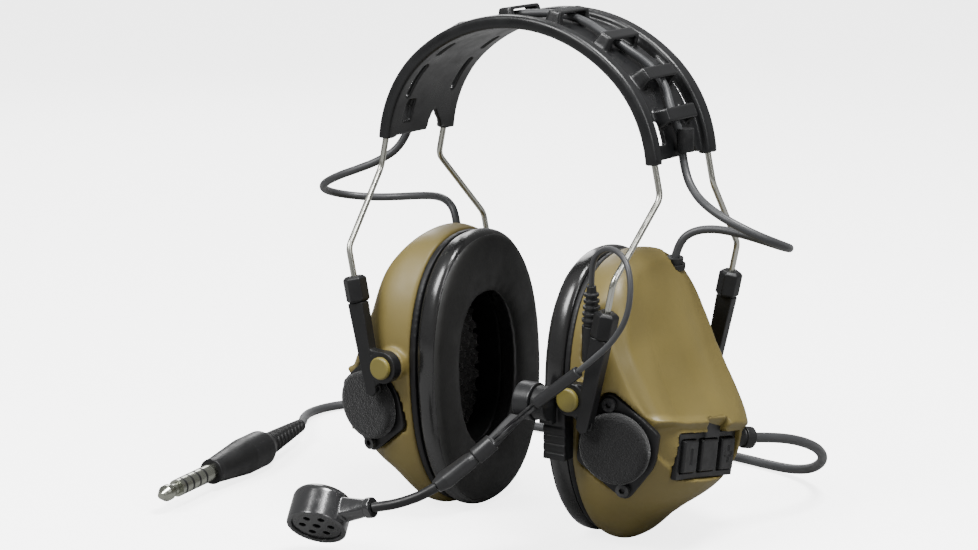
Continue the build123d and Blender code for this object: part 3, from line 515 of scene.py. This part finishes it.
def windscreen(side):
    s = 1 if side == "left" else -1
    zax = DN
    xax = Vector((0, 0, 1)).cross(DN).normalized()
    yax = zax.cross(xax)
    org = DISC - DN * 7.4
    prof = [(0.0, 2.62), (8.0, 2.6), (12.8, 2.6), (13.55, 2.9), (13.8, 3.8), (13.8, 5.6), (13.45, 6.6), (12.7, 7.2), (11.6, 7.42), (9.5, 7.46), (7.0, 7.52), (4.0, 7.56), (1.6, 7.58), (0.0, 7.58)]
    K = 96
    pts = []
    for (a, b), (a2, b2) in zip(prof[:-1], prof[1:]):
        m = max(1, int(math.hypot(a2 - a, b2 - b) / 0.6))
        for i in range(m):
            pts.append((a + (a2 - a) * i / m, b + (b2 - b) * i / m))
    pts = pts[1:] if pts[0][0] == 0 else pts
    verts, faces = [], []

    def place(r, h, t):
        l = xax * (r * math.cos(t)) + yax * (r * math.sin(t)) + zax * h + org
        n = noise.noise(l * 0.55) * 0.10 + noise.noise(l * 1.6) * 0.07
        l = l + zax * (n if h > 4 else 0)
        return P(s * l.x, l.y, l.z)
    for (r, h) in pts:
        for i in range(K):
            verts.append(place(r, h, 2 * math.pi * i / K))
    R = len(pts)
    for j in range(R - 1):
        for i in range(K):
            faces.append((j * K + i, j * K + (i + 1) % K, (j + 1) * K + (i + 1) % K, (j + 1) * K + i))
    c0 = len(verts)
    verts.append(place(0.0, 2.62, 0))
    c1 = len(verts)
    verts.append(place(0.0, 7.58, 0))
    for i in range(K):
        faces.append((c0, (i + 1) % K, i))
        faces.append((c1, (R - 1) * K + i, (R - 1) * K + (i + 1) % K))
    me = mesh_of(verts, faces)
    bm = bmesh.new()
    bm.from_mesh(me)
    bmesh.ops.recalc_face_normals(bm, faces=bm.faces)
    bm.to_mesh(me)
    bm.free()
    o = bpy.data.objects.new("windscreen_pad_" + side, me)
    scene.collection.objects.link(o)
    finish_piece(o, FOAM, "cup_" + side, ["windscreen_foam_" + side])
    return o


windscreen("left")
windscreen("right")

# ------------------------------------------------------------------ moulded parts with soft edges
softened("headband_shell", "headband", BAND, 0.00055, 3, 0.45)
for sd in ("left", "right"):
    softened("yoke_arms_" + sd, "yoke_" + sd, BLACK, 0.0003, 4)
    softened("slider_nuts_" + sd, "yoke_" + sd, BLACK, 0.00028, 3)
    softened("pivot_pins_" + sd, "yoke_" + sd, PIN, 0.00028, 3)
    softened("windscreen_flange_" + sd, "cup_" + sd, BLACK, 0.00035, 3)
    softened("baffle_plate_" + sd, "cup_" + sd, DARK, 0.0006, 2)
softened("boom_bracket", "cup_left", BLACK, 0.0003, 3)
softened("mic_socket", "cup_left", BLACK, 0.00025, 2)
softened("mic_plug", "cup_left", RUBBER, 0.00018, 3)
softened("boom_hub", "boom", GREY, 0.00028, 4)
softened("boom_strap", "boom", GREY, 0.0002, 4)
softened("boom_grip", "boom", GREY, 0.0002, 4)
softened("mic_housing", "mic", MICM, 0.0003, 4)
softened("mic_grille", "mic", MICM, 0.00018, 3)
softened("key_panel", "cup_left", BLACK, 0.0003, 3)
for k_ in ("key_minus", "key_power", "key_plus"):
    softened(k_, k_, KEYR, 0.00022, 3)
softened("battery_lid", "battery_lid", OLIVE, 0.0003, 3)
softened("plug_body", "cup_left", BLACK, 0.00032, 3)
softened("downlead_gland", "cup_left", RUBBER, 0.00025, 3)


# ------------------------------------------------------------------ cords
def route_curve(name, pts, d):
    cu = bpy.data.curves.new(name, "CURVE")
    cu.dimensions = "3D"
    sp = cu.splines.new("NURBS")
    sp.points.add(len(pts) - 1)
    for p, q in zip(sp.points, pts):
        v = P(*q)
        p.co = (v.x, v.y, v.z, 1.0)
    sp.order_u = 3
    sp.use_endpoint_u = True
    sp.resolution_u = 12
    cu.resolution_u = 12
    cu.bevel_depth = d / 2000.0
    cu.bevel_resolution = 8
    cu.use_fill_caps = True
    o = bpy.data.objects.new(name, cu)
    scene.collection.objects.link(o)
    return o


def line_of(o):
    """The points of a route's own spline."""
    bare = o.copy()
    bare.data = o.data.copy()
    bare.data.bevel_depth = 0.0
    me = bpy.data.meshes.new_from_object(bare)
    pts = [Vector(v.co) for v in me.vertices]
    bpy.data.meshes.remove(me)
    cu = bare.data
    bpy.data.objects.remove(bare)
    bpy.data.curves.remove(cu)
    return pts


def tube_mesh(name, pts, d, mat, K=20):
    """A round tube along the points, with closed ends."""
    verts, faces = [], []
    r = d / 2000.0
    t0 = (pts[1] - pts[0]).normalized()
    n = t0.orthogonal().normalized()
    prev = t0
    for i, p in enumerate(pts):
        t = (pts[min(i + 1, len(pts) - 1)] - pts[max(i - 1, 0)]).normalized()
        n = prev.rotation_difference(t) @ n
        n = (n - t * n.dot(t)).normalized()
        b = t.cross(n)
        prev = t
        for k in range(K):
            a = 2 * math.pi * k / K
            verts.append(p + n * (r * math.cos(a)) + b * (r * math.sin(a)))
    M = len(pts)
    for i in range(M - 1):
        for k in range(K):
            faces.append((i * K + k, i * K + (k + 1) % K, (i + 1) * K + (k + 1) % K, (i + 1) * K + k))
    faces.append(tuple(range(K))[::-1])
    faces.append(tuple((M - 1) * K + k for k in range(K)))
    o = new_object(name, mesh_of(verts, faces), mat)
    o.data.set_sharp_from_angle(angle=math.radians(60))
    return o


# the crossover cable, held on the headband
ZIG_N = [(-63.4, -2.0, 150.0)]
CX1 = (71.36 - 51.31) * math.sin(math.radians(40.0))
CZ0 = 200.0 - 71.36
CZ1 = CZ0 + (71.36 - 51.31) * math.cos(math.radians(40.0))
for (deg, y) in ((-77, -1.0), (-66, 3.6), (-47, -4.2), (-28, 4.2), (-9, -4.2), (9, 4.2), (28, -4.2), (47, 4.2), (66, -3.6), (77, -1.0)):
    if abs(deg) <= 40:
        t_ = math.radians(deg)
        ZIG_N.append(((71.36 - 0.1) * math.sin(t_), y, CZ0 + (71.36 - 0.1) * math.cos(t_)))
    else:
        p_ = math.radians(90 - abs(deg))
        ZIG_N.append(((1 if deg > 0 else -1) * (CX1 + (51.31 - 0.1) * math.cos(p_)), y, CZ1 + (51.31 - 0.1) * math.sin(p_)))
ZIG_N.append((63.4, -2.0, 150.0))
zig = route_curve("crossover_cable_run", ZIG_N, 3.2)
set_mat(zig, CORD)
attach(zig, "headband")
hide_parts("crossover_cable_band")
zl = line_of(zig)

LOOP = [(63.4, -2.0, 150.0), (65.8, -3.7, 142.6), (73.0, -8.6, 136.8), (81.0, -12.6, 133.2), (90.5, -14.6, 129.6),
        (100.5, -11.6, 125.0), (106.4, -3.0, 120.6), (104.6, 7.6, 117.4), (96.6, 15.4, 116.0), (86.0, 19.6, 116.6),
        (75.0, 21.0, 118.0), (65.0, 19.6, 119.0), (57.4, 16.8, 117.8), (52.6, 14.6, 113.6), (51.2, 13.8, 107.0)]
for sd, s in (("left", 1), ("right", -1)):
    guide = route_curve("guide", [(s * x, y, z) for x, y, z in LOOP], 3.2)
    pts = line_of(guide)
    bpy.data.objects.remove(guide)
    far = max(range(len(pts)), key=lambda i: abs(pts[i].x))
    up = tube_mesh("crossover_loop_upper_" + sd, pts[:far + 1], 3.2, CORD)
    low = tube_mesh("crossover_loop_lower_" + sd, pts[far:], 3.2, CORD)
    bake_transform(up)
    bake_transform(low)
    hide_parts("crossover_loop_" + sd)
    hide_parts("crossover_loop_" + sd)

LEAD = [(47.4, -39.3, 104.6), (47.9, -40.3, 111.6), (51.0, -42.0, 117.6), (57.4, -44.6, 121.2), (64.6, -47.6, 120.8), (70.4, -50.8, 116.6),
        (73.0, -53.2, 108.4), (72.2, -54.8, 98.4), (67.2, -56.0, 89.8), (60.4, -56.8, 83.2), (53.0, -57.6, 76.8)]
guide = route_curve("guide", LEAD, 2.2)
pts = line_of(guide)
bpy.data.objects.remove(guide)
lead = tube_mesh("mic_lead_cord", pts, 2.2, CORD)
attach(lead, "cup_left")
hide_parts("mic_lead")

# the sleeve that takes the lead to the hub
sl = copy_of("lead_sleeve", "lead_sleeve_skin")
remeshed(sl, 0.00022, 3)
set_mat(sl, GREY)
for p in sl.data.polygons:
    p.use_smooth = True
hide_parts("lead_sleeve")
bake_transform(sl)

# the downlead: out of the gland, down behind the cup, three turns, then across to the plug
ROUTE_A = [(76.4, 30.5, 36.0), (81.0, 41.2, 34.4), (85.2, 52.8, 31.2), (87.0, 64.8, 26.0), (84.6, 76.0, 19.4), (78.2, 86.6, 12.6), (69.0, 95.4, 6.6), (57.4, 101.6, 3.0), (44.6, 105.0, 2.1), (31.6, 107.6, 2.05), (19.0, 109.2, 2.02)]
COIL = []
for i in range(1, 37):
    a = math.radians(70 + 30 * i)
    turn = i / 12.0
    if turn <= 1.0:
        r_, z_ = 24.0, 2.0
    elif turn <= 2.0:
        r_, z_ = 24.0 - 4.1 * min(1.0, (turn - 1.0) * 4), 2.0
    else:
        r_, z_ = 19.9 + 2.1 * min(1.0, (turn - 2.0) * 3), 2.0 + 3.9 * min(1.0, (turn - 2.0) * 3)
    COIL.append((5.0 + r_ * math.cos(a), 85.0 + r_ * math.sin(a), z_))
ROUTE_B = [(-4.0, 108.4, 6.2), (-14.0, 108.6, 5.0), (-26.0, 106.0, 2.2), (-50.0, 101.6, 2.0), (-78.0, 101.0, 2.03), (-106.0, 102.6, 2.0), (-130.0, 103.4, 2.02), (-149.0, 99.2, 2.0), (-162.6, 90.0, 2.05), (-169.8, 77.0, 2.1), (-169.6, 62.6, 2.6), (-163.0, 49.6, 3.8), (-154.4, 38.6, 5.6), (-146.8, 26.6, 7.45)]
down = route_curve("downlead_cord", ROUTE_A + COIL + ROUTE_B, 4.0)
set_mat(down, CORD)
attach(down, "cup_left")
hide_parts("downlead_exit", "downlead_coil", "downlead_tail")
dl = line_of(down)


# the plug's tapered relief, with a crossed lattice of ribs
def relief(name, a, b, r0, r1, node, body):
    a, b = P(*a), P(*b)
    ax = (b - a).normalized()
    n = ax.orthogonal().normalized()
    w = ax.cross(n)
    L = (b - a).length
    M, K = 150, 96
    verts, faces = [], []
    for i in range(M + 1):
        t = i / M
        for k in range(K):
            th = 2 * math.pi * k / K
            base = (r0 + (r1 - r0) * t ** 0.9)
            u = 9 * t * 1.0 + th / (2 * math.pi) * 4
            v = 9 * t * 1.0 - th / (2 * math.pi) * 4
            rib = max(math.exp(-((u % 1 - 0.5) / 0.16) ** 2), math.exp(-((v % 1 - 0.5) / 0.16) ** 2))
            ends = min(1.0, t / 0.06, (1 - t) / 0.05)
            rr = base - 0.62 * (1 - rib) * max(0.0, ends)
            p = a + ax * (L * t) + (n * math.cos(th) + w * math.sin(th)) * (rr / 1000)
            verts.append(p)
    for i in range(M):
        for k in range(K):
            faces.append((i * K + k, i * K + (k + 1) % K, (i + 1) * K + (k + 1) % K, (i + 1) * K + k))
    faces.append(tuple(range(K))[::-1])
    faces.append(tuple(M * K + k for k in range(K)))
    o = new_object(name, mesh_of(verts, faces), None)
    return finish_piece(o, RUBBER, body, [node], 50)


rel = relief("plug_relief_lattice", (-147.2, 27.6, 7.4), (-137.5, -6.9, 7.75), 2.75, 5.1, "plug_relief", "cup_left")

# ------------------------------------------------------------------ camera, floor, light
az, el, roll = math.radians(35.0), math.radians(11.7), math.radians(-0.2)
fwd = Vector((-math.sin(az) * math.cos(el), math.cos(az) * math.cos(el), -math.sin(el)))
right = Vector((math.cos(az), math.sin(az), 0))
up = right.cross(fwd)
r2 = right * math.cos(roll) + up * math.sin(roll)
u2 = up * math.cos(roll) - right * math.sin(roll)
cam = bpy.data.cameras.new("camera")
cam.lens = 92.02
cam.sensor_width = 36.0
cam.clip_start = 0.01
cam.clip_end = 50.0
co_ = bpy.data.objects.new("camera", cam)
scene.collection.objects.link(co_)
loc = P(530.8, -795.2, 294.8)
co_.matrix_world = Matrix(((r2.x, u2.x, -fwd.x, loc.x), (r2.y, u2.y, -fwd.y, loc.y), (r2.z, u2.z, -fwd.z, loc.z), (0, 0, 0, 1)))
scene.camera = co_

floor_mat = bpy.data.materials.new("floor")
floor_mat.use_nodes = True
ft = floor_mat.node_tree
fb = ft.nodes["Principled BSDF"]
fb.inputs["Base Color"].default_value = (0.22, 0.22, 0.22, 1)
fb.inputs["Roughness"].default_value = 0.85
fe = ft.nodes.new("ShaderNodeBsdfDiffuse")
fe.inputs["Color"].default_value = (0.95, 0.95, 0.95, 1)
fl = ft.nodes.new("ShaderNodeEmission")
fl.inputs["Strength"].default_value = 3.6
fa = ft.nodes.new("ShaderNodeAddShader")
ft.links.new(fe.outputs[0], fa.inputs[0])
ft.links.new(fl.outputs[0], fa.inputs[1])
fp = ft.nodes.new("ShaderNodeLightPath")
fx = ft.nodes.new("ShaderNodeMixShader")
ft.links.new(fp.outputs["Is Camera Ray"], fx.inputs[0])
ft.links.new(fb.outputs[0], fx.inputs[1])
ft.links.new(fa.outputs[0], fx.inputs[2])
ft.links.new(fx.outputs[0], ft.nodes["Material Output"].inputs[0])
fm = mesh_of([(-6, -6, -0.0003), (6, -6, -0.0003), (6, 6, -0.0003), (-6, 6, -0.0003)], [(0, 1, 2, 3)])
floor = bpy.data.objects.new("floor", fm)
scene.collection.objects.link(floor)
set_mat(floor, floor_mat)

w = bpy.data.worlds.new("studio")
w.use_nodes = True
wt = w.node_tree
wb = wt.nodes["Background"]
wb.inputs[0].default_value = (1.0, 1.0, 1.0, 1)
wb.inputs[1].default_value = 0.33
wc = wt.nodes.new("ShaderNodeBackground")
wc.inputs[0].default_value = (1.0, 1.0, 1.0, 1)
wc.inputs[1].default_value = 5.0
wp = wt.nodes.new("ShaderNodeLightPath")
wx = wt.nodes.new("ShaderNodeMixShader")
wt.links.new(wp.outputs["Is Camera Ray"], wx.inputs[0])
wt.links.new(wb.outputs[0], wx.inputs[1])
wt.links.new(wc.outputs[0], wx.inputs[2])
wt.links.new(wx.outputs[0], wt.nodes["World Output"].inputs[0])
scene.world = w


def area(name, loc, target, size, power, size_y=None, colour=(1, 1, 1)):
    l = bpy.data.lights.new(name, "AREA")
    l.shape = "RECTANGLE"
    l.size = size
    l.size_y = size_y or size
    l.energy = power
    l.color = colour
    o = bpy.data.objects.new(name, l)
    scene.collection.objects.link(o)
    o.location = loc
    o.rotation_mode = "QUATERNION"
    o.rotation_quaternion = (Vector(target) - Vector(loc)).to_track_quat("-Z", "Y")
    return o


area("key", (-0.30, -0.80, 0.95), (0, 0, 0.10), 0.42, 18.0, 0.55)
area("right", (1.00, -0.25, 0.70), (0, 0, 0.10), 0.30, 4.0, 0.6)
area("rim", (-0.75, 0.75, 0.75), (0, 0, 0.1), 0.35, 5.0, 0.8)
area("top", (0.30, 0.0, 1.1), (0, 0, 0.1), 0.35, 22.0, 0.35)
